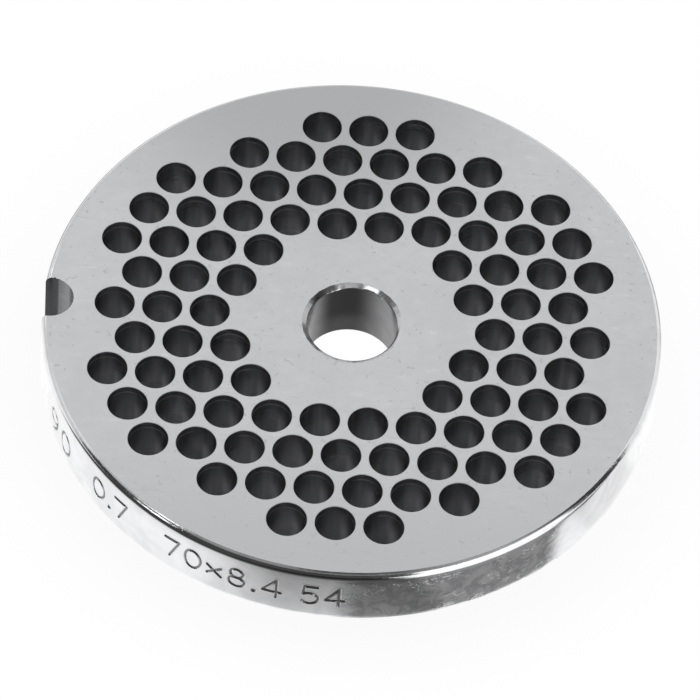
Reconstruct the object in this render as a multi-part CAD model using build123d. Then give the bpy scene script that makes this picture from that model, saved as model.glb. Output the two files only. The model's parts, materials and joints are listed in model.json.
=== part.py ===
from build123d import *
import os
from math import ceil, hypot, sqrt

# Perforated plate of a size 12 meat grinder, one piece of stainless steel.
# Millimetres. The bore's axis is +Z, and the origin is its centre in the lower face.
# The rows of holes run along X, and the key notch is at -X.

# Disc
plate_diameter = 70.0
plate_thickness = 8.4
rim_round_radius = 1.0     # radius turned on both corners of the rim
face_grind_depth = 0.1     # taken off each face after the rim was rounded

# Bore for the stud of the feed screw
bore_diameter = 10.2
bore_chamfer_width = 0.6   # measured across the face
bore_chamfer_depth = 0.4   # measured down the bore

# Holes that the meat is pressed through, on a triangular lattice
hole_diameter = 4.5
hole_web = 0.87            # metal left between two neighbouring holes
hub_land_radius = 11.5     # no hole cuts into this circle, where the knife turns
rim_land_width = 4.0       # no hole cuts into this band, where the ring nut clamps

# Notch for the key of the grinder's head
notch_width = 5.4
notch_depth = 3.5

rim_radius = plate_diameter / 2
bore_radius = bore_diameter / 2
chamfer_radius = bore_radius + bore_chamfer_width
hole_pitch = hole_diameter + hole_web
row_spacing = hole_pitch * sqrt(3) / 2


def turned_section():
    # Half section of the disc: rounded rim, two ground faces, chamfered bore.
    # Grinding cuts the corner rounds short, so each meets its face at a visible edge.
    round_height = rim_round_radius - face_grind_depth
    round_centre = rim_radius - rim_round_radius
    face_edge = round_centre + sqrt(rim_round_radius**2 - round_height**2)
    top = plate_thickness
    with BuildSketch(Plane.XZ) as section:
        with BuildLine():
            Line((chamfer_radius, 0), (face_edge, 0))
            RadiusArc((face_edge, 0), (rim_radius, round_height), -rim_round_radius)
            Line((rim_radius, round_height), (rim_radius, top - round_height))
            RadiusArc((rim_radius, top - round_height), (face_edge, top), -rim_round_radius)
            Line((face_edge, top), (chamfer_radius, top))
            Line((chamfer_radius, top), (bore_radius, top - bore_chamfer_depth))
            Line((bore_radius, top - bore_chamfer_depth), (bore_radius, bore_chamfer_depth))
            Line((bore_radius, bore_chamfer_depth), (chamfer_radius, 0))
        make_face()
    return section.sketch


def hole_centres():
    # Lattice points between the hub land and the rim land, row by row.
    # A row with an odd number is shifted along X by half a pitch.
    nearest = hub_land_radius + hole_diameter / 2
    farthest = rim_radius - rim_land_width - hole_diameter / 2
    reach = ceil(farthest / row_spacing) + 1
    centres = []
    for row in range(-reach, reach + 1):
        for place in range(-reach, reach + 1):
            x = (place + (row % 2) / 2) * hole_pitch
            y = row * row_spacing
            if nearest <= hypot(x, y) <= farthest:
                centres.append((x, y))
    return centres


with BuildPart() as plate:
    add(turned_section())
    revolve(axis=Axis.Z)

    with BuildSketch():
        with Locations(*hole_centres()):
            Circle(hole_diameter / 2)
    extrude(amount=plate_thickness, mode=Mode.SUBTRACT)

    # The notch is open at the rim and has a full radius at its inner end.
    with BuildSketch():
        with Locations((notch_depth - notch_width / 2 - rim_radius, 0)):
            Circle(notch_width / 2)
            Rectangle(notch_depth, notch_width, align=(Align.MAX, Align.CENTER))
    extrude(amount=plate_thickness, mode=Mode.SUBTRACT)

os.makedirs("parts", exist_ok=True)
export_step(plate.part, "parts/grinder_plate.step")
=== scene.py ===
import json
import math
import bmesh
import bpy
import numpy as np
from mathutils import Matrix, Vector
from mathutils.geometry import delaunay_2d_cdt


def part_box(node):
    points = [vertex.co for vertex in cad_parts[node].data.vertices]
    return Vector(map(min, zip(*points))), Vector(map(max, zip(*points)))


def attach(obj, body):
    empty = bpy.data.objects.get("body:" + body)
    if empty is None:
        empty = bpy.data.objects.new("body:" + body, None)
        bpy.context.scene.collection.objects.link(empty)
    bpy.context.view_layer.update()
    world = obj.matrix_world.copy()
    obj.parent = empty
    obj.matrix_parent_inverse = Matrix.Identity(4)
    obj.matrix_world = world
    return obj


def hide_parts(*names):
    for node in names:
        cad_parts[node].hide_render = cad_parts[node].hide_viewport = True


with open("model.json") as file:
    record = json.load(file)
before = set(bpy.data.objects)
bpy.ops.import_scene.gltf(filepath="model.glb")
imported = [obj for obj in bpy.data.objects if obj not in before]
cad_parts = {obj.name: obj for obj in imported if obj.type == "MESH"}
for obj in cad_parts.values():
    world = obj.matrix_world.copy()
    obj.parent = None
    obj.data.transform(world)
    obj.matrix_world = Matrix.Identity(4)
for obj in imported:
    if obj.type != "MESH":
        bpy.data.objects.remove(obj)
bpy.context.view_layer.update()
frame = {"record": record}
print("frame loaded")

mm = 0.001
low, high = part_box("grinder_plate")
mounts = {mount["name"]: mount["dims"] for mount in frame["record"]["mounts"] if mount["dims"]}

# the plate's sizes in metres: read from the frame, or written in millimetres times mm
plateSizes = {
    "rimRadius": mounts["rim"]["r_mm"] * mm,
    "thickness": high.z - low.z,
    "wallHeight": mounts["rim"]["length_mm"] * mm,
    "boreRadius": mounts["bore"]["r_mm"] * mm,
    "boreLength": mounts["bore"]["length_mm"] * mm,
    "rimRound": 1.0 * mm,
    "chamferWidth": 0.6 * mm,
    "holeRadius": 2.25 * mm,
    "holeWeb": 0.87 * mm,
    "hubLand": 11.5 * mm,
    "rimLand": 4.0 * mm,
    "notchWidth": 5.4 * mm,
    "notchDepth": 3.5 * mm,
    "notchDraw": 24,              # the rim's columns are drawn back to the notch over a turn divided by this
    "sideColumns": 8,             # columns on each flat side of the notch, and round its end
    "endColumns": 61,
    "chipDepth": 0.22 * mm,       # chips along the notch's edge, the place where they end, their slope back
    "chipEnd": 33.2 * mm,
    "chipBack": 0.4,
    "chipSeed": 5,
    "latticeReach": 9,            # holes tried each way from the middle
    "holeBreak": 0.1 * mm,        # broken edge of each hole, and the degrees that grinding leaves of it
    "breakTurn": 60,
    "wallRow": 0.88,              # height of the row of points on a hole's wall, over the thickness
    "boreRows": (0.6, 0.3),       # and of those on the bore's wall
    "chamferTop": (0.12 * mm, 0.06 * mm),     # eased ends of the chamfer, across and down
    "chamferFoot": (0.05 * mm, 0.06 * mm),
    "chamferDrop": 0.03 * mm,
    "chamferRows": 4,
    "holeSegments": 48,
    "boreSegments": 120,
    "roundRows": 8,
    "breakRows": 3,
    "coarseStep": 2.0,            # degrees between the rim's columns where it is plain
    "fineStep": 0.14,             # and where it is stamped, with a margin at both ends of a mark
    "stampMargin": 0.6,
    "stampRows": 60,
    "stampHeights": (6.35 * mm, 1.6 * mm),
    "lip": 0.09 * mm,             # burr standing in on the chamfer's inner edge, over these angles
    "lipRise": 0.9,
    "lipSpans": ((43, 56), (106, 124)),
    "flats": ((59, 81, 0.24 * mm), (84, 112, 0.08 * mm)),    # where the chamfer is worn flatter, and its rise
    "flatEase": 4,
    "weld": 0.002 * mm,           # points nearer than this become one
    "sharpFrom": 21.5,            # degrees between faces from which an edge stays sharp
}
notchBearing = 180.0              # where the notch stands round the plate, in degrees

# plain numbers stamped on the rim: centre angle, foot above the lower face, height, room of one sign
stampMarks = [
    {"text": "90", "angle": 205.8, "foot": 1.95 * mm, "height": 3.4 * mm, "advance": 3.4 * mm},
    {"text": "0.7", "angle": 224.0, "foot": 2.7 * mm, "height": 3.1 * mm, "advance": 2.6 * mm},
    {"text": "70x8.4 54", "angle": 255.3, "foot": 2.8 * mm, "height": 3.05 * mm, "advance": 2.7 * mm},
]
# the groove's half width, its depth and the power that rounds it; the burr beside it, its height, its width
# and its gap in widths; how near the rim's radius a point of the wall lies
stampCut = {
    "halfWidth": 0.19 * mm, "depth": 0.13 * mm, "shape": 0.7,
    "burr": 0.025 * mm, "burrWidth": 0.10 * mm, "burrGap": 0.7, "wallWithin": 0.01 * mm,
}


def arcRows(centre, radius, start, end, rows):
    # points on a circle from start to end degrees, in the plane of radius and height
    turn = np.radians(np.linspace(start, end, rows + 1))
    return np.stack([centre[0] + radius * np.cos(turn), centre[1] + radius * np.sin(turn)], 1)


def rimProfile(sizes):
    # radius and height down the rim: corner round, straight wall with fine rows where it is stamped,
    # corner round
    roundHeight = (sizes["thickness"] - sizes["wallHeight"]) / 2
    centre = sizes["rimRadius"] - sizes["rimRound"]
    start = math.degrees(math.asin(roundHeight / sizes["rimRound"]))
    top, rows = sizes["thickness"] - roundHeight, sizes["roundRows"]
    upper = arcRows((centre, top), sizes["rimRound"], start, 0, rows)
    lower = arcRows((centre, roundHeight), sizes["rimRound"], 0, -start, rows)
    stamped = np.linspace(*sizes["stampHeights"], sizes["stampRows"])
    wall = np.stack([np.full_like(stamped, sizes["rimRadius"]), stamped], 1)
    return np.vstack([upper, wall, lower])


def rimAngles(sizes):
    # columns round the rim from one side of the notch to the other, crowded where a mark is stamped
    edges = [notchBearing]
    for mark in stampMarks:
        half = mark["advance"] * signRooms(mark["text"]).sum() / 2
        half = math.degrees(half / sizes["rimRadius"]) + sizes["stampMargin"]
        edges += [mark["angle"] - half, mark["angle"] + half]
    edges.append(notchBearing + 360)
    spans = []
    for number, (start, end) in enumerate(zip(edges[:-1], edges[1:])):
        step = sizes["fineStep"] if number % 2 else sizes["coarseStep"]
        spans.append(np.linspace(start, end, max(2, round((end - start) / step)), endpoint=False))
    return np.append(np.concatenate(spans), notchBearing + 360)


def rimSurface(sizes):
    # a profile carried round the axis: x = r cos a, y = r sin a, with its ends drawn back to the notch's
    # flat sides
    profile = rimProfile(sizes)
    radius, height = profile[:, 0][None], profile[:, 1][None]
    share = ((rimAngles(sizes) - notchBearing) / 360)[:, None]
    gap = np.arcsin(sizes["notchWidth"] / 2 / radius)
    near = np.clip(1 - np.minimum(share, 1 - share) * sizes["notchDraw"], 0, 1) * np.sign(share - 0.5)
    angle = np.radians(notchBearing) + share * np.radians(360) - near * gap
    x, y = radius * np.cos(angle), radius * np.sin(angle)
    return np.stack([x, y, np.broadcast_to(height, angle.shape)], 2)


def notchSurface(sizes):
    # the notch's outline, flat side, half circle, flat side, carried down the same heights as the rim;
    # the top row is set back by small random chips along the outer part of one side
    profile = rimProfile(sizes)
    half = sizes["notchWidth"] / 2
    centre = sizes["rimRadius"] - sizes["notchDepth"] + half
    mouth = np.sqrt(profile[:, 0] ** 2 - half ** 2)
    side = np.linspace(0, 1, sizes["sideColumns"])[:, None]
    flat = -(mouth[None] * (1 - side) + centre * side)
    turn = np.radians(np.linspace(90, -90, sizes["endColumns"]))[1:-1, None]
    bend = -centre + half * np.cos(turn) + 0 * mouth[None]
    x = np.vstack([flat, bend, flat[::-1]])
    across = half * np.sin(turn) + 0 * mouth[None]
    y = np.vstack([np.full_like(flat, half), across, np.full_like(flat, -half)])
    chips = np.random.default_rng(sizes["chipSeed"]).random(len(x)) ** 2 * sizes["chipDepth"]
    chips *= np.clip((-sizes["chipEnd"] - x[:, 0]) / mm, 0, 1) * (y[:, 0] > 0)
    chips[[0, -1]] = 0
    y[:, 0] += chips
    x[:, 0] += chips * sizes["chipBack"]
    return np.stack([x, y, np.broadcast_to(profile[:, 1][None], x.shape)], 2)


def turnedWall(profile, centre, segments):
    # a profile of radius and height carried once round an upright axis at centre
    turn = np.radians(np.linspace(0, 360, segments, endpoint=False))[:, None]
    radius, height = profile[:, 0][None], profile[:, 1][None]
    x = centre[0] + radius * np.cos(turn)
    y = centre[1] + radius * np.sin(turn)
    return np.stack([x, y, np.broadcast_to(height, x.shape)], 2)


def holeProfile(sizes):
    # edge break cut short by the grinding of the face, straight wall, the same again below
    radius, size, top = sizes["holeRadius"], sizes["holeBreak"], sizes["thickness"]
    drop = size * math.sin(math.radians(sizes["breakTurn"]))
    upper = arcRows((radius + size, top - drop), size, 180 - sizes["breakTurn"], 180, sizes["breakRows"])
    return np.vstack([upper, [[radius, top * sizes["wallRow"]]], (upper * [1, -1] + [0, top])[::-1]])


def boreProfile(sizes):
    # radius and height down the bore: chamfer with eased ends, straight wall, the same chamfer again
    top, radius = sizes["thickness"], sizes["boreRadius"]
    edge = top - (top - sizes["boreLength"]) / 2
    wide = radius + sizes["chamferWidth"]
    (topIn, topDown), (footIn, footUp) = sizes["chamferTop"], sizes["chamferFoot"]
    upper = [(wide, top), (wide - topIn, top - topDown), (radius + footIn, edge + footUp)]
    upper.append((radius, edge - sizes["chamferDrop"]))
    wall = [(radius, top * share) for share in sizes["boreRows"]]
    lower = [(across, top - height) for across, height in upper]
    return np.array(upper + wall + lower[::-1])


def wearChamfer(bore, sizes):
    # over each flat the chamfer's two lower rows rise, with eased ends; over each span of the lip its inner
    # edge moves in and up by the lip times the root of a half wave
    angle = np.degrees(np.arctan2(bore[:, 0, 1], bore[:, 0, 0]))
    ease, inner = sizes["flatEase"], sizes["chamferRows"] - 1
    for start, end, rise in sizes["flats"]:
        share = np.clip((angle - start) / ease, 0, 1) * np.clip((end - angle) / ease, 0, 1)
        bore[:, inner - 1:inner + 1, 2] += (share * rise)[:, None]
    for start, end in sizes["lipSpans"]:
        share = np.clip((angle - start) / (end - start), 0, 1)
        lip = sizes["lip"] * np.sin(share * np.pi) ** 0.5
        bore[:, inner, :2] *= (1 - lip / sizes["boreRadius"])[:, None]
        bore[:, inner, 2] += lip * sizes["lipRise"]


def holeCentres(sizes):
    # points of a triangular lattice between the hub land and the rim land
    pitch = 2 * sizes["holeRadius"] + sizes["holeWeb"]
    steps = np.arange(-sizes["latticeReach"], sizes["latticeReach"] + 1)
    place, row = np.meshgrid(steps, steps)
    x = ((place + (row % 2) / 2) * pitch).ravel()
    y = (row * pitch * math.sqrt(3) / 2).ravel()
    reach = np.hypot(x, y)
    keep = reach >= sizes["hubLand"] + sizes["holeRadius"]
    keep &= reach <= sizes["rimRadius"] - sizes["rimLand"] - sizes["holeRadius"]
    return np.stack([x[keep], y[keep]], 1)


class MeshPieces:  # gathers grids and triangles, then joins them into one closed mesh
    def __init__(self):
        self.points, self.faces, self.slots, self.count = [], [], [], 0

    def addGrid(self, grid, closed, slot):
        # quads between neighbouring columns and rows of a (columns, rows, 3) array
        columns, rows = grid.shape[:2]
        number = self.count + np.arange(columns * rows).reshape(columns, rows)
        after = np.roll(number, -1, 0) if closed else number[1:]
        before = number if closed else number[:-1]
        quads = np.stack([before[:, :-1], before[:, 1:], after[:, 1:], after[:, :-1]], 2).reshape(-1, 4)
        self.points.append(grid.reshape(-1, 3))
        self.faces += quads.tolist()
        self.slots.append(np.full(len(quads), slot))
        self.count += columns * rows

    def addTriangles(self, points, triangles, slot):
        self.points.append(points)
        self.faces += (triangles + self.count).tolist()
        self.slots.append(np.full(len(triangles), slot))
        self.count += len(points)

    def makeObject(self, name, materials, sizes):
        mesh = bpy.data.meshes.new(name)
        mesh.from_pydata(np.vstack(self.points).tolist(), [], self.faces)
        for material in materials:
            mesh.materials.append(material)
        mesh.polygons.foreach_set("material_index", np.concatenate(self.slots).astype(np.int32))
        mesh.polygons.foreach_set("use_smooth", np.ones(len(self.faces), bool))
        work = bmesh.new()
        work.from_mesh(mesh)
        bmesh.ops.remove_doubles(work, verts=work.verts, dist=sizes["weld"])
        bmesh.ops.recalc_face_normals(work, faces=work.faces)
        work.to_mesh(mesh)
        work.free()
        mesh.set_sharp_from_angle(angle=math.radians(sizes["sharpFrom"]))
        made = bpy.data.objects.new(name, mesh)
        bpy.context.scene.collection.objects.link(made)
        return made


def faceTriangles(sizes, loops, centres):
    # triangles of the flat face between closed outlines, without those whose middle is inside a hole,
    # the bore or the notch
    points = np.vstack(loops)
    edges, first = [], 0
    for loop in loops:
        number = first + np.arange(len(loop))
        edges += np.stack([number, np.roll(number, -1)], 1).tolist()
        first += len(loop)
    found, _, faces, *_ = delaunay_2d_cdt((points / mm).tolist(), edges, [], 1, 1e-7)
    found, faces = np.array(found) * mm, np.array(faces)
    middle = found[faces].mean(1)
    keep = np.hypot(*middle.T) > sizes["boreRadius"] + sizes["chamferWidth"] * 0.9
    nearest = np.hypot(*(middle[:, None] - centres[None]).transpose(2, 0, 1)).min(1)
    keep &= nearest > sizes["holeRadius"] + sizes["holeBreak"] * 0.4
    half = sizes["notchWidth"] / 2
    notchCentre = sizes["rimRadius"] - sizes["notchDepth"] + half
    inNotch = np.hypot(middle[:, 0] + notchCentre, middle[:, 1]) < half * 0.999
    inNotch |= (middle[:, 0] < -notchCentre) & (np.abs(middle[:, 1]) < half)
    return found, faces[keep & ~inNotch]


def makePlate(sizes, finishes):
    # the rim and the notch in one ring, the holes and the bore inside it, a flat face above and below;
    # finishes holds the materials by name, in the order of their slots
    pieces = MeshPieces()
    slot = {name: number for number, name in enumerate(finishes)}
    rim, notch = rimSurface(sizes), notchSurface(sizes)
    pieces.addGrid(rim, False, slot["polished rim"])
    pieces.addGrid(notch, False, slot["notch wall"])
    centres = holeCentres(sizes)
    holes = [turnedWall(holeProfile(sizes), centre, sizes["holeSegments"]) for centre in centres]
    edge, chamfer = sizes["breakRows"], sizes["chamferRows"]
    for hole in holes:
        pieces.addGrid(hole[:, :edge + 1], True, slot["broken edge"])
        pieces.addGrid(hole[:, edge:], True, slot["drilled wall"])
    bore = turnedWall(boreProfile(sizes), (0, 0), sizes["boreSegments"])
    wearChamfer(bore, sizes)
    pieces.addGrid(bore[:, :chamfer], True, slot["polished chamfer"])
    pieces.addGrid(bore[:, chamfer - 1:1 - chamfer], True, slot["bored wall"])
    pieces.addGrid(bore[:, -chamfer:], True, slot["polished chamfer"])
    for row, height in ((0, sizes["thickness"]), (-1, 0.0)):
        outer = np.vstack([rim[:-1, row, :2], notch[:-1, row, :2]])
        loops = [outer] + [hole[:, row, :2] for hole in holes] + [bore[:, row, :2]]
        points, triangles = faceTriangles(sizes, loops, centres)
        level = np.full((len(points), 1), height)
        pieces.addTriangles(np.hstack([points, level]), triangles, slot["ground face"])
    return pieces.makeObject("finished_plate", finishes.values(), sizes)

# strokes of the stamped numerals in a box one unit high:
# ("line", points) or ("bow", centre, radii, start, end)
glyphBox = 0.62      # width of that box, and of a numeral over its height
glyphWidth = 0.7
bowPoints = 25
pointRoom = 0.5      # a point takes half the room of a numeral, a gap a little over half
gapRoom = 0.6
glyphStrokes = {
    " ": [],
    "0": [("bow", (0.31, 0.5), (0.29, 0.5), 0, 360)],
    "4": [("line", [(0.46, 0.0), (0.46, 1.0), (0.02, 0.3), (0.62, 0.3)])],
    "5": [("line", [(0.54, 1.0), (0.12, 1.0), (0.08, 0.56)]), ("bow", (0.28, 0.31), (0.29, 0.31), 130, -140)],
    "7": [("line", [(0.04, 1.0), (0.58, 1.0), (0.22, 0.0)])],
    "8": [("bow", (0.31, 0.75), (0.22, 0.25), 0, 360), ("bow", (0.31, 0.26), (0.27, 0.26), 0, 360)],
    "9": [("bow", (0.31, 0.71), (0.26, 0.29), 0, 360), ("bow", (0.1, 0.72), (0.47, 0.72), 0, -78)],
    ".": [("bow", (0.31, 0.05), (0.04, 0.04), 0, 360)],
    "x": [("line", [(0.06, 0.16), (0.56, 0.66)]), ("line", [(0.56, 0.16), (0.06, 0.66)])],
}


def signRooms(text):
    # room of each sign, in advances
    return np.array([{".": pointRoom, " ": gapRoom}.get(sign, 1.0) for sign in text])


def signPlaces(text):
    # middle of each sign in advances from the middle of the mark: half its own room past the rooms before it
    rooms = signRooms(text)
    return np.cumsum(rooms) - rooms / 2 - rooms.sum() / 2


def strokeSegments(text, height, advance):
    # start and end points of every short straight piece of a mark, centred on its middle
    segments = []
    for place, sign in zip(signPlaces(text), text):
        shift = np.array([place * advance - glyphWidth / 2 * height, 0])
        for stroke in glyphStrokes[sign]:
            if stroke[0] == "line":
                points = np.array(stroke[1])
            else:
                centre, radii, start, end = stroke[1:]
                turn = np.radians(np.linspace(start, end, bowPoints))
                across = centre[0] + radii[0] * np.cos(turn)
                points = np.stack([across, centre[1] + radii[1] * np.sin(turn)], 1)
            points = points * [height * glyphWidth / glyphBox, height] + shift
            segments.append(np.hstack([points[:-1], points[1:]]))
    return np.vstack(segments)


def strokeDistance(points, segments):
    # distance of each point from the nearest piece: the foot of the perpendicular, held to the piece's ends
    start, along = segments[:, :2], segments[:, 2:] - segments[:, :2]
    offset = points[:, None] - start[None]
    share = (offset * along).sum(2) / np.maximum((along ** 2).sum(1), 1e-18)
    return np.linalg.norm(offset - np.clip(share, 0, 1)[..., None] * along, axis=2).min(1)


def stampRim(made, sizes, marks, cut):
    # each rim vertex moves in by depth times a rounded groove across a stroke, and out by a thin raised burr
    # beside it; the groove is kept as an attribute for the look of the rim, which paints shade into it
    mesh = made.data
    points = np.empty(len(mesh.vertices) * 3)
    mesh.vertices.foreach_get("co", points)
    points = points.reshape(-1, 3)
    angle = np.degrees(np.arctan2(points[:, 1], points[:, 0])) % 360
    onWall = np.abs(np.hypot(points[:, 0], points[:, 1]) - sizes["rimRadius"]) < cut["wallWithin"]
    groove = np.zeros(len(points))
    for mark in marks:
        along = np.radians(angle - mark["angle"]) * sizes["rimRadius"]
        rise = points[:, 2] - mark["foot"]
        reach = mark["advance"] * (len(mark["text"]) + 1) / 2
        near = np.flatnonzero(onWall & (np.abs(along) < reach))
        segments = strokeSegments(mark["text"], mark["height"], mark["advance"])
        distance = strokeDistance(np.stack([along[near], rise[near]], 1), segments)
        depth = 1 - np.clip(distance / cut["halfWidth"], 0, 1) ** 2
        beside = distance - cut["halfWidth"] - cut["burrWidth"] * cut["burrGap"]
        burr = np.exp(-(beside / cut["burrWidth"]) ** 2)
        radius = sizes["rimRadius"] - depth ** cut["shape"] * cut["depth"] + burr * (depth <= 0) * cut["burr"]
        points[near, :2] *= (radius / sizes["rimRadius"])[:, None]
        groove[near] = np.maximum(groove[near], depth)
    mesh.vertices.foreach_set("co", points.ravel())
    shade = mesh.attributes.new("stamped", "FLOAT", "POINT")
    shade.data.foreach_set("value", groove.astype(np.float32))
    mesh.update()


class Wire:  # one output of a node: sums, differences, products, quotients and powers on it add Math nodes
    def __init__(self, tree, socket):
        self.tree, self.socket = tree, socket

    def math(self, operation, *items):
        node = self.tree.nodes.new("ShaderNodeMath")
        node.operation = operation
        for port, item in zip(node.inputs, items):
            if isinstance(item, Wire):
                self.tree.links.new(item.socket, port)
            else:
                port.default_value = item
        return Wire(self.tree, node.outputs[0])

    def __add__(self, other):
        return self.math("ADD", self, other)

    def __radd__(self, other):
        return self.math("ADD", other, self)

    def __sub__(self, other):
        return self.math("SUBTRACT", self, other)

    def __rsub__(self, other):
        return self.math("SUBTRACT", other, self)

    def __mul__(self, other):
        return self.math("MULTIPLY", self, other)

    def __rmul__(self, other):
        return self.math("MULTIPLY", other, self)

    def __truediv__(self, other):
        return self.math("DIVIDE", self, other)

    def __rtruediv__(self, other):
        return self.math("DIVIDE", other, self)

    def __pow__(self, other):
        return self.math("POWER", self, other)


class Look:  # the nodes of a material or of the world
    def __init__(self, owner):
        owner.use_nodes = True
        self.tree = owner.node_tree
        self.tree.nodes.clear()

    def add(self, kind, settings=None, values=None, output=0):
        # adds a node: its settings first, then its sockets by name or number, and gives back one output
        node = self.tree.nodes.new("ShaderNode" + kind)
        for key, value in (settings or {}).items():
            setattr(node, key, value)
        for key, value in (values or {}).items():
            if isinstance(value, Wire):
                self.tree.links.new(value.socket, node.inputs[key])
            else:
                node.inputs[key].default_value = value
        return Wire(self.tree, node.outputs[output]) if len(node.outputs) else None

    def smooth(self, value, low, high):
        # 0 below low, 1 above high, an even curve between
        return self.add("MapRange", {"interpolation_type": "SMOOTHSTEP"}, {0: value, 1: low, 2: high})

    def span(self, value, start, end, soft):
        # 1 between start and end, falling to 0 over soft outside them
        return self.smooth(value, start - soft, start) * (1 - self.smooth(value, end, end + soft))

    def bearing(self, where):
        # degrees round the upright axis, from -180 to 180
        x, y = (self.add("SeparateXYZ", None, {0: where}, axis) for axis in range(2))
        return y.math("ARCTAN2", y, x) * (180 / math.pi)

    def noise(self, where, scale, detail=2.0, rough=0.5, warp=0.0):
        # scale counts the patches in a metre
        sockets = {"Vector": where, "Scale": scale, "Detail": detail, "Roughness": rough, "Distortion": warp}
        return self.add("TexNoise", None, sockets)

    def stretch(self, where, scale, turn=(0, 0, 0)):
        return self.add("Mapping", None, {"Vector": where, "Scale": scale, "Rotation": turn})

    def grey(self, level):
        return self.add("CombineXYZ", None, {0: level, 1: level, 2: level})

    def mix(self, share, first, second):
        return self.add("Mix", {"data_type": "RGBA"}, {0: share, 6: first, 7: second}, 2)


def steelLook(name, values, build):
    # a metal whose colour, roughness and bump height come from the build function
    material = bpy.data.materials.new(name)
    look = Look(material)
    where = look.add("TexCoord", None, None, "Object")
    colour, roughness, height = build(look, where, values)
    bump = look.add("Bump", None, {"Height": height, "Strength": 1.0, "Distance": values["bump"] * mm})
    sockets = {"Base Color": colour, "Metallic": values["metallic"], "Roughness": roughness, "Normal": bump}
    steel = look.add("BsdfPrincipled", None, sockets)
    look.add("OutputMaterial", None, {"Surface": steel})
    return material


# scales count the patches in a metre along each axis, turns are in radians
groundValues = {
    "cloudScale": 120, "mottleScale": 620, "grainScale": 2600, "fleckScale": 1500,
    "lineScale": (220, 3600, 3600), "lineTurn": 0.35, "crossScale": (260, 3000, 3000), "crossTurn": -1.1,
    "rubScale": (330, 1300, 1300), "rubTurn": -0.85,
    "light": (0.57, 0.58, 0.59, 1), "dark": (0.526, 0.536, 0.546, 1), "scratch": (0.42, 0.425, 0.435, 1),
    # the next colour is a darker reflection painted round one place on the face
    "dimReflection": (0.415, 0.424, 0.435, 1), "dimReflectionAt": (-9 * mm, 38 * mm), "dimReflectionReach": (9 * mm, 33 * mm),
    "frontDarker": (0.49, 0.499, 0.509, 1), "frontDarkerFrom": (-34 * mm, -14 * mm),
    "scuff": (0.64, 0.65, 0.66, 1), "scuffShare": 0.6, "fleckShare": 0.7, "scratchShare": 0.6,
    "metallic": 0.55, "roughness": 0.44, "bump": 0.0035,
}


def groundFace(look, where, values):
    # cloudy ground steel with crossed grinding lines, rubs, flecks and scratches; a darker reflection painted
    # round one place, and darker towards the front
    cloud = look.noise(where, values["cloudScale"], 3)
    grain = look.noise(where, values["grainScale"], 3, 0.6)
    lines = look.noise(look.stretch(where, values["lineScale"], (0, 0, values["lineTurn"])), 1, 3, 0.6)
    cross = look.noise(look.stretch(where, values["crossScale"], (0, 0, values["crossTurn"])), 1, 3, 0.6)
    fleck = look.smooth(look.noise(where, values["fleckScale"], 1), 0.69, 0.75)
    scratch = look.smooth(lines, 0.62, 0.72) + look.smooth(cross, 0.64, 0.73)
    scratch = scratch * look.smooth(cloud, 0.46, 0.6)
    rub = look.noise(look.stretch(where, values["rubScale"], (0, 0, values["rubTurn"])), 1, 2, 0.5)
    mottle = look.noise(where, values["mottleScale"], 2, 0.55) - 0.5
    scuff = look.smooth(rub, 0.64, 0.72) * look.smooth(cloud, 0.4, 0.55)
    shade = look.smooth(cloud * 0.55 + grain * 0.2 + rub * 0.25 + mottle * 0.35, 0.33, 0.67)
    colour = look.mix(shade, values["dark"], values["light"])
    colour = look.mix(scuff * values["scuffShare"], colour, values["scuff"])
    x, y = (look.add("SeparateXYZ", None, {0: where}, axis) for axis in range(2))
    away = ((x - values["dimReflectionAt"][0]) ** 2 + (y - values["dimReflectionAt"][1]) ** 2) ** 0.5
    # a darker reflection painted in round one place, fading out over its reach
    colour = look.mix(1 - look.smooth(away, *values["dimReflectionReach"]), colour, values["dimReflection"])
    # the face turns darker towards the front
    colour = look.mix(1 - look.smooth(y, *values["frontDarkerFrom"]), colour, values["frontDarker"])
    marks = fleck * values["fleckShare"] + scratch * values["scratchShare"]
    colour = look.mix(marks, colour, values["scratch"])
    roughness = values["roughness"] + (grain - 0.5) * 0.10 + (cloud - 0.5) * 0.08
    return colour, roughness, grain * 0.5 + lines * 0.35 + cross * 0.3 - scratch * 0.4 - fleck * 0.6


polishedValues = {
    "swirlScale": (260, 260, 170), "smearScale": (190, 190, 150), "lineScale": (60, 60, 3400),
    "blotchScale": 420, "grainScale": 3200, "mottleScale": 480,
    "veinScale": 980, "veinWidth": 0.05, "knockScale": 560,
    # the groove colour is shade painted into the stamped grooves
    "light": (0.82, 0.825, 0.835, 1), "dark": (0.72, 0.725, 0.735, 1), "groove": (0.25, 0.25, 0.255, 1),
    "knockedAndDimmed": (-85, -48, 6), "knockedShare": 0.5, "restShare": 0.08,    # first and last bearing, soft edge
    # the next colour is a mottled darker reflection painted over the knocked stretch, which ends a little
    # below the wall's top
    "rimDimReflection": (0.4, 0.405, 0.415, 1), "rimDimReflectionShare": 0.65, "knockedAndDimmedEnd": 0.6 * mm,
    "knockHeight": 1.3, "grooveRough": 0.3, "metallic": 1.0, "roughness": 0.11, "bump": 0.03,
}


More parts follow.
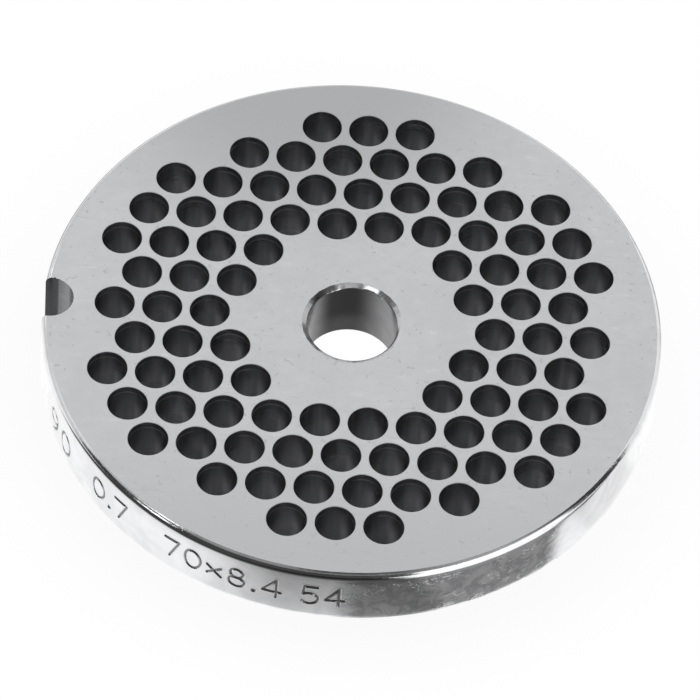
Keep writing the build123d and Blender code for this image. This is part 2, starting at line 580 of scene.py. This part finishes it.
def polishedRim(look, where, values):
    # swirls from the polishing wheel, small knocks that gather along one stretch of the wall with a mottled
    # darker reflection painted over it, and shade painted into the grooves
    stamped = look.add("Attribute", {"attribute_name": "stamped"}, None, "Fac")
    swirl = look.noise(look.stretch(where, values["swirlScale"]), 1, 3, 0.55, 1.2)
    blotch = look.noise(where, values["blotchScale"], 3, 0.55, 0.6)
    smear = look.noise(look.stretch(where, values["smearScale"]), 1, 2, 0.5, 1.5)
    grain = look.noise(where, values["grainScale"], 2, 0.6)
    lines = look.noise(look.stretch(where, values["lineScale"]), 1, 2, 0.6)
    vein = look.noise(where, values["veinScale"], 2, 0.55, 0.6) - 0.5
    knock = 1 - look.smooth(vein.math("ABSOLUTE", vein), 0.0, values["veinWidth"])
    knock = knock * look.smooth(look.noise(where, values["knockScale"], 1), 0.5, 0.62)
    z = look.add("SeparateXYZ", None, {0: where}, 2)
    wallEnd = (plateSizes["thickness"] + plateSizes["wallHeight"]) / 2
    knockedAndDimmed = look.span(look.bearing(where), *values["knockedAndDimmed"])
    knockedAndDimmed = knockedAndDimmed * (1 - look.smooth(z, wallEnd - values["knockedAndDimmedEnd"], wallEnd))
    share = values["restShare"] + knockedAndDimmed * (values["knockedShare"] - values["restShare"])
    colour = look.mix(look.smooth(smear * 0.75 + blotch * 0.25, 0.34, 0.64), values["dark"], values["light"])
    mottle = look.smooth(look.noise(where, values["mottleScale"], 3, 0.65, 0.8), 0.4, 0.62)
    # a mottled darker reflection painted over the knocked stretch
    colour = look.mix(knockedAndDimmed * mottle * values["rimDimReflectionShare"], colour, values["rimDimReflection"])
    # shade painted into the stamped grooves
    colour = look.mix(look.smooth(stamped, 0.05, 0.75), colour, values["groove"])
    roughness = values["roughness"] + (blotch - 0.45) * 0.2 + (lines - 0.5) * 0.12
    roughness = roughness + look.smooth(stamped, 0.1, 0.9) * values["grooveRough"]
    height = swirl * 0.8 + blotch * (0.2 + knockedAndDimmed) + (grain + lines) * 0.05
    return colour, roughness, height - knock * share * values["knockHeight"]


edgeValues = {
    "ringScale": (120, 120, 2200), "blotchScale": 520,
    "light": (0.62, 0.625, 0.635, 1), "dark": (0.5, 0.505, 0.515, 1),
    "metallic": 0.5, "roughness": 0.5, "bump": 0.012,
}


def turnedSurface(look, where, values):
    # fine rings round the axis under soft blotches
    rings = look.noise(look.stretch(where, values["ringScale"]), 1, 2, 0.5)
    blotch = look.noise(where, values["blotchScale"], 3, 0.6)
    colour = look.mix(look.smooth(blotch, 0.3, 0.7), values["dark"], values["light"])
    roughness = values["roughness"] + (rings - 0.5) * 0.12 + (blotch - 0.5) * 0.1
    return colour, roughness, rings * 0.4 + blotch * 0.6


boreValues = {
    "ringScale": (120, 120, 2200), "blotchScale": 520,
    # the darkest colour here is a dark reflection painted down one side of the wall
    "light": (0.72, 0.725, 0.735, 1), "dark": (0.62, 0.625, 0.635, 1), "darkReflection": (0.07, 0.071, 0.073, 1),
    "darkReflectionFrom": (33, 90), "darkReflectionTo": (118, 160), "darkReflectionFoot": (1.6 * mm, 4.2 * mm), "darkReflectionFootShare": 0.14,
    "metallic": 1.0, "roughness": 0.2, "bump": 0.004,
}


def boredSurface(look, where, values):
    # a reamed wall with a dark reflection painted down one side, coming in over one pair of bearings and
    # going over another, and a little less near its foot
    colour, roughness, height = turnedSurface(look, where, values)
    angle = look.bearing(where)
    # a dark reflection painted over these bearings
    darkReflection = look.smooth(angle, *values["darkReflectionFrom"]) * (1 - look.smooth(angle, *values["darkReflectionTo"]))
    foot = 1 - look.smooth(look.add("SeparateXYZ", None, {0: where}, 2), *values["darkReflectionFoot"])
    darkReflection = darkReflection * (1 - values["darkReflectionFootShare"] * foot)
    return look.mix(darkReflection, colour, values["darkReflection"]), roughness, height


chamferValues = {
    "patchScale": 900, "grainScale": (700, 700, 2600),
    # the line colour is a dark line of painted shade along the chamfer's inner edge
    "light": (0.43, 0.435, 0.445, 1), "dark": (0.24, 0.245, 0.255, 1), "line": (0.14, 0.141, 0.144, 1),
    "lineWidth": (0.06 * mm, 0.2 * mm), "lineMiddle": -104, "lineReach": (96, 110), "lineShift": 0.11 * mm,
    "metallic": 1.0, "roughness": 0.15, "bump": 0.03,
}
# stretches of the chamfer from one bearing to another, each over those before it: painted highlights and
# painted dark reflections, and on the near side a rougher worn stretch painted a mid grey
chamferWearAndReflections = [
    {"from": -122, "to": 12, "soft": 14, "grey": 0.66, "roughness": 0.6},
    {"from": 84, "to": 112, "soft": 5, "grey": 0.62, "roughness": 0.3},
    {"from": 61, "to": 80, "soft": 3, "grey": 0.98, "roughness": 0.25},
    {"from": 34, "to": 49, "soft": 4, "grey": 0.22, "roughness": 0.2},
    {"from": 120, "to": 152, "soft": 6, "grey": 0.23, "roughness": 0.2},
    {"from": 158, "to": 180, "soft": 6, "grey": 0.48, "roughness": 0.25},
    {"from": -166, "to": -146, "soft": 10, "grey": 0.13, "roughness": 0.15},
]


def chamferSurface(look, where, values):
    # patchy, with the stretches of painted highlight, dark reflection and wear over it, and a dark line of
    # painted shade along the inner edge of the near part
    angle = look.bearing(where)
    patch = look.noise(where, values["patchScale"], 3, 0.65)
    grain = look.noise(look.stretch(where, values["grainScale"]), 1, 2, 0.6)
    colour = look.mix(look.smooth(patch, 0.4, 0.62), values["dark"], values["light"])
    roughness = values["roughness"] + (patch - 0.5) * 0.2
    for part in chamferWearAndReflections:
        share = look.span(angle, part["from"], part["to"], part["soft"])
        share = share * (0.5 + look.smooth(patch, 0.3, 0.5) * 0.5)
        grey = part["grey"]
        colour = look.mix(share, colour, (grey, grey, grey * 1.02, 1))
        roughness = roughness + (part["roughness"] - roughness) * share
    x, y = (look.add("SeparateXYZ", None, {0: where}, axis) for axis in range(2))
    # a dark line of painted shade along the inner edge of the near part
    turned = angle - values["lineMiddle"]
    line = 1 - look.smooth(turned.math("PINGPONG", turned, 180.0), *values["lineReach"])
    x = x - values["lineShift"]
    line = line * (1 - look.smooth((x * x + y * y) ** 0.5 - plateSizes["boreRadius"], *values["lineWidth"]))
    return look.mix(line, colour, values["line"]), roughness, patch * 0.7 + grain * 0.4


drilledValues = {
    "streakScale": (900, 900, 90), "ringScale": (150, 150, 2600), "brokenScale": 330,
    "light": (0.47, 0.475, 0.49, 1), "dark": (0.35, 0.355, 0.37, 1),
    # the next values paint shade on the two sides of each hole and a reflection low on one side
    "side": (0.6, 0.95), "sideShade": 0.28, "sideShadeColour": (0, 0, 0, 1),
    "lowReflectionFrom": (0.2, 0.45), "lowReflectionTo": (0.62, 0.85), "lowReflectionDepth": (1.5 * mm, 4.5 * mm),
    "lowReflectionColour": (0.66, 0.665, 0.68, 1),
    "ring": (0.7, 0.7, 0.71, 1), "ringDepth": 0.93 * mm, "ringWidth": 0.16 * mm, "ringRoughness": 0.43,
    "metallic": 1.0, "roughness": 0.3, "bump": 0.012,
}


def drilledSurface(look, where, values):
    # streaks down the wall, faint rings round it, and a broken brighter, rougher ring a little below the top;
    # shade painted on the two sides and a reflection painted low on one, told apart by which way the wall
    # faces
    streaks = look.noise(look.stretch(where, values["streakScale"]), 1, 2, 0.5)
    rings = look.noise(look.stretch(where, values["ringScale"]), 1, 2, 0.5)
    depth = plateSizes["thickness"] - look.add("SeparateXYZ", None, {0: where}, 2)
    half = values["ringWidth"] / 2
    band = look.span(depth, values["ringDepth"] - half, values["ringDepth"] + half, half)
    band = band * look.smooth(look.noise(where, values["brokenScale"], 0), 0.31, 0.56)
    facing = look.add("SeparateXYZ", None, {0: look.add("NewGeometry", None, None, "Normal")}, 0)
    side = look.smooth(facing.math("ABSOLUTE", facing), *values["side"])
    lowReflection = look.smooth(-1 * facing, *values["lowReflectionFrom"]) * (1 - look.smooth(-1 * facing, *values["lowReflectionTo"]))
    colour = look.mix(look.smooth(streaks, 0.35, 0.65), values["dark"], values["light"])
    # a reflection painted low on one side
    colour = look.mix(lowReflection * look.smooth(depth, *values["lowReflectionDepth"]), colour, values["lowReflectionColour"])
    # shade painted on the two sides
    colour = look.mix(side * values["sideShade"], colour, values["sideShadeColour"])
    colour = look.mix(band, colour, values["ring"])
    roughness = values["roughness"] + (rings - 0.5) * 0.15
    roughness = roughness + band * (values["ringRoughness"] - values["roughness"])
    return colour, roughness, rings * 0.6 + streaks * 0.4


notchValues = {
    "markScale": (1500, 1500, 60), "blotchScale": 700,
    # the colours are kept low as painted shade in the notch, and the darkest paints a darker reflection
    # towards its mouth
    "light": (0.21, 0.217, 0.223, 1), "dark": (0.146, 0.151, 0.156, 1), "darkReflection": (0.053, 0.055, 0.057, 1),
    "darkReflectionEdge": (-33.55 * mm, -33.25 * mm), "metallic": 1.0, "roughness": 0.25, "bump": 0.02,
}


def milledSurface(look, where, values):
    # a milled wall with upright cutter marks, its colour kept dark overall as painted shade, with a darker
    # reflection painted towards the notch's mouth
    marks = look.noise(look.stretch(where, values["markScale"]), 1, 3, 0.6)
    blotch = look.noise(where, values["blotchScale"], 2, 0.6)
    colour = look.mix(look.smooth(marks * 0.6 + blotch * 0.4, 0.35, 0.65), values["dark"], values["light"])
    x = look.add("SeparateXYZ", None, {0: where}, 0)
    # a darker reflection painted towards the notch's mouth
    colour = look.mix(1 - look.smooth(x, *values["darkReflectionEdge"]), colour, values["darkReflection"])
    return colour, values["roughness"] + (blotch - 0.5) * 0.2, marks * 0.7 + blotch * 0.3


plateFinishes = {
    "ground face": (groundValues, groundFace),
    "polished rim": (polishedValues, polishedRim),
    "bored wall": (boreValues, boredSurface),
    "drilled wall": (drilledValues, drilledSurface),
    "notch wall": (notchValues, milledSurface),
    "polished chamfer": (chamferValues, chamferSurface),
    "broken edge": (edgeValues, turnedSurface),
}
finishes = {name: steelLook(name, *finish) for name, finish in plateFinishes.items()}
print("finishes made:", len(finishes))

visual = makePlate(plateSizes, finishes)
stampRim(visual, plateSizes, stampMarks, stampCut)
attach(visual, "root")
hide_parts("grinder_plate")
print("plate made:", sum(len(face.vertices) - 2 for face in visual.data.polygons), "triangles")

# the pale floor, and how bright it stands in reflections: white, but dim in places round the plate.
# From and the named stretches are bearings in degrees, Reach is a distance from the axis
floorValues = {
    "radius": 4.0, "drop": 0.02 * mm, "colour": (0.88, 0.88, 0.88, 1), "cameraNear": 0.93, "fade": 14 * mm,
    "footprint": (1.3 * mm, 0.6 * mm), "boreEase": 0.2 * mm, "boreLevel": 0.42,
    "white": 1.1, "foot": (35.3 * mm, 35.6 * mm),
    "leftFrom": (-169, -158), "leftReach": (38 * mm, 50 * mm), "leftDark": 0.95,
    "frontFrom": (-122, -98), "frontLevel": 0.6, "frontStart": 1 * mm, "frontLength": 7.3 * mm,
    "frontFar": 0.03, "frontEnd": (40 * mm, 44 * mm), "frontEndDark": 0.5,
    "rightFrom": (-76, -70), "rightLevel": 0.319, "rightReach": (42 * mm, 46 * mm), "rightFar": 1.3,
    "sideFrom": (-47.5, -42.5), "sideReach": (35.6 * mm, 41 * mm), "sideTurn": 9,
    "band": (-33, -20, 4), "bandReach": (42 * mm, 50 * mm), "bandDark": 0.16,
    "dim": (-83, -74, 7), "dimDark": 0.58,
    "gap": (-38, -31, 5), "gapFrom": 43 * mm, "gapTurn": 0.6 / mm, "gapReach": (34 * mm, 52 * mm),
    "gapDark": 0.85,
    "behind": (7 * mm, 20 * mm), "behindNear": 0.42, "behindReach": (38 * mm, 110 * mm),
}


def mirrorLevel(look, x, y, reach, values):
    # one level after another as the bearing passes from left to front, to the right and to the side;
    # behind the plate the level rises from its foot outwards
    angle = y.math("ARCTAN2", y, x) * (180 / math.pi)
    left = values["white"] * (1 - values["leftDark"] * look.smooth(reach, *values["leftReach"]))
    fall = (plateSizes["rimRadius"] + values["frontStart"] - reach) / values["frontLength"]
    front = values["frontFar"] + values["frontLevel"] * fall.math("EXPONENT", fall)
    front = front * (1 - values["frontEndDark"] * look.smooth(reach, *values["frontEnd"]))
    far = look.smooth(reach, *values["rightReach"])
    right = values["rightLevel"] + (values["rightFar"] - values["rightLevel"]) * far
    level = values["white"]
    for start, after in (("leftFrom", left), ("frontFrom", front), ("rightFrom", right)):
        level = level + (after - level) * look.smooth(angle, *values[start])
    outward = look.add("MapRange", None, {0: reach, 1: values["sideReach"][0], 2: values["sideReach"][1]})
    turned = angle - outward * values["sideTurn"]
    level = level + (values["white"] - level) * look.smooth(turned, *values["sideFrom"])
    band = look.span(angle, *values["band"]) * (1 - look.smooth(reach, *values["bandReach"]))
    level = level * (1 - values["bandDark"] * band)
    level = values["white"] + (level - values["white"]) * look.smooth(reach, *values["foot"])
    dim = look.span(angle, *values["dim"]) * (1 - far)
    gapAngle = angle - (reach - values["gapFrom"]) * values["gapTurn"]
    gap = look.span(gapAngle, *values["gap"]) * look.smooth(reach, *values["gapReach"])
    near = 1 - look.smooth(reach, *values["behindReach"])
    behind = look.smooth(y, *values["behind"]) * near * (1 - values["behindNear"])
    return level * (1 - values["dimDark"] * dim) * (1 - values["gapDark"] * gap) * (1 - behind)


def makeFloor(values):
    # a flat disc under the plate: x = r cos a, y = r sin a; the camera sees it white but for a soft shadow
    # near the plate, mirrored and transmitted rays see the levels of mirrorLevel
    turn = np.radians(np.arange(0, 360, 5))
    points = np.stack([np.cos(turn), np.sin(turn), 0 * turn], 1) * values["radius"]
    mesh = bpy.data.meshes.new("floor")
    mesh.from_pydata((points - [0, 0, values["drop"]]).tolist(), [], [list(range(len(points)))])
    material = bpy.data.materials.new("pale floor")
    look = Look(material)
    where = look.add("TexCoord", None, None, "Object")
    x, y = (look.add("SeparateXYZ", None, {0: where}, axis) for axis in range(2))
    reach = (x * x + y * y) ** 0.5
    outside = look.smooth(reach, *(plateSizes["rimRadius"] - inset for inset in values["footprint"]))
    boreFoot = plateSizes["boreRadius"] + plateSizes["chamferWidth"]
    inBore = 1 - look.smooth(reach, boreFoot - values["boreEase"], boreFoot)
    mirrored = mirrorLevel(look, x, y, reach, values) * outside + values["boreLevel"] * inBore
    camera, mirror, through = (look.add("LightPath", None, None, "Is %s Ray" % kind)
                               for kind in ("Camera", "Glossy", "Transmission"))
    lit = look.add("BsdfDiffuse", None, {"Color": values["colour"]})
    level = camera + (1 - camera) * mirrored
    white = look.add("Emission", None, {"Color": look.grey(level)})
    fade = look.smooth(reach, plateSizes["rimRadius"], plateSizes["rimRadius"] + values["fade"])
    share = values["cameraNear"] + (1 - values["cameraNear"]) * fade
    share = camera * (1 - (1 - share) * outside) + (mirror + through) * (outside + inBore)
    both = look.add("MixShader", None, {0: share, 1: lit, 2: white})
    look.add("OutputMaterial", None, {"Surface": both})
    mesh.materials.append(material)
    floor = bpy.data.objects.new("floor", mesh)
    bpy.context.scene.collection.objects.link(floor)
    return floor


makeFloor(floorValues)

# panels and dark cards of the studio round the plate, each over those before it: the azimuth and elevation of
# its middle, its half spans and its soft edge in degrees, and its level
studioPanels = [
    {"azimuth": -120, "elevation": 62, "across": 62, "tall": 22, "soft": 8, "level": 0.28},
    {"azimuth": -34, "elevation": 42, "across": 12, "tall": 16, "soft": 8, "level": 0.4},
    {"azimuth": 176, "elevation": 40, "across": 14, "tall": 16, "soft": 10, "level": 0.5},
    {"azimuth": 90, "elevation": 8, "across": 84, "tall": 14, "soft": 8, "level": 0.6},
    {"azimuth": 162, "elevation": 12, "across": 24, "tall": 24, "soft": 10, "level": 0.75},
    {"azimuth": 90, "elevation": 90, "across": 180, "tall": 10, "soft": 10, "level": 0.85},
    {"azimuth": 34, "elevation": 14, "across": 24, "tall": 26, "soft": 3, "level": 0.95},
    {"azimuth": 93, "elevation": 70, "across": 78, "tall": 34, "soft": 10, "level": 0.97},
    {"azimuth": -41, "elevation": 4, "across": 23, "tall": 24, "soft": 7, "level": 1.35},
    {"azimuth": 116, "elevation": 32, "across": 22, "tall": 12, "soft": 10, "level": 1.8},
    {"azimuth": 30, "elevation": 77, "across": 36, "tall": 8, "soft": 8, "level": 2.9},
    {"azimuth": -121, "elevation": 8, "across": 54, "tall": 27, "soft": 5, "level": 0.06},
    {"azimuth": -80, "elevation": 58, "across": 18, "tall": 9, "soft": 6, "level": 0.1},
    {"azimuth": 1, "elevation": 10, "across": 7, "tall": 16, "soft": 2, "level": 0.04},
    {"azimuth": 3, "elevation": 35, "across": 9, "tall": 14, "soft": 4, "level": 0.05},
    {"azimuth": -154, "elevation": 49, "across": 5, "tall": 4, "soft": 3, "level": 1.6},
    {"azimuth": -147, "elevation": 22, "across": 4, "tall": 7, "soft": 2, "level": 1.9},
]
roomLevel = 0.2


def lightStudio(panels):
    # the level in a direction passes from the room's to each panel's in turn, as far as the direction is
    # inside it
    world = bpy.data.worlds.new("studio")
    bpy.context.scene.world = world
    look = Look(world)
    direction = look.add("TexCoord", None, None, "Generated")
    z = look.add("SeparateXYZ", None, {0: direction}, 2)
    azimuth, elevation = look.bearing(direction), z.math("ARCSINE", z) * (180 / math.pi)
    level = roomLevel
    for panel in panels:
        turned = azimuth - panel["azimuth"]
        around = turned.math("PINGPONG", turned, 180.0)
        rise = elevation - panel["elevation"]
        inside = 1 - look.smooth(around, panel["across"], panel["across"] + panel["soft"])
        apart = rise.math("ABSOLUTE", rise)
        inside = inside * (1 - look.smooth(apart, panel["tall"], panel["tall"] + panel["soft"]))
        level = level + (panel["level"] - level) * inside
    background = look.add("Background", None, {"Color": look.grey(level)})
    look.add("OutputWorld", None, {"Surface": background})


lightStudio(studioPanels)
print("studio lit")

# where the camera looks and stands, in metres and degrees, and its lens and sensor in millimetres
cameraValues = {
    "aim": (0.0, -0.0039, 0.0084), "distance": 0.7294, "azimuth": 0.0, "elevation": 52.76, "roll": 4.89,
    "lens": 334.3, "sensor": 36.0, "nearest": 0.05,
}


def placeCamera(values):
    data = bpy.data.cameras.new("camera")
    data.sensor_width = values["sensor"]
    data.lens = values["lens"]
    data.clip_start = values["nearest"]
    camera = bpy.data.objects.new("camera", data)
    turn = Matrix.Rotation(math.radians(values["azimuth"]), 4, "Z")
    turn = turn @ Matrix.Rotation(math.radians(90 - values["elevation"]), 4, "X")
    back = turn @ Vector((0, 0, values["distance"]))
    roll = Matrix.Rotation(math.radians(values["roll"]), 4, "Z")
    camera.matrix_world = Matrix.Translation(Vector(values["aim"]) + back) @ turn @ roll
    bpy.context.scene.collection.objects.link(camera)
    bpy.context.scene.camera = camera


placeCamera(cameraValues)
bpy.context.scene.view_settings.view_transform = "Standard"
print("scene ready")
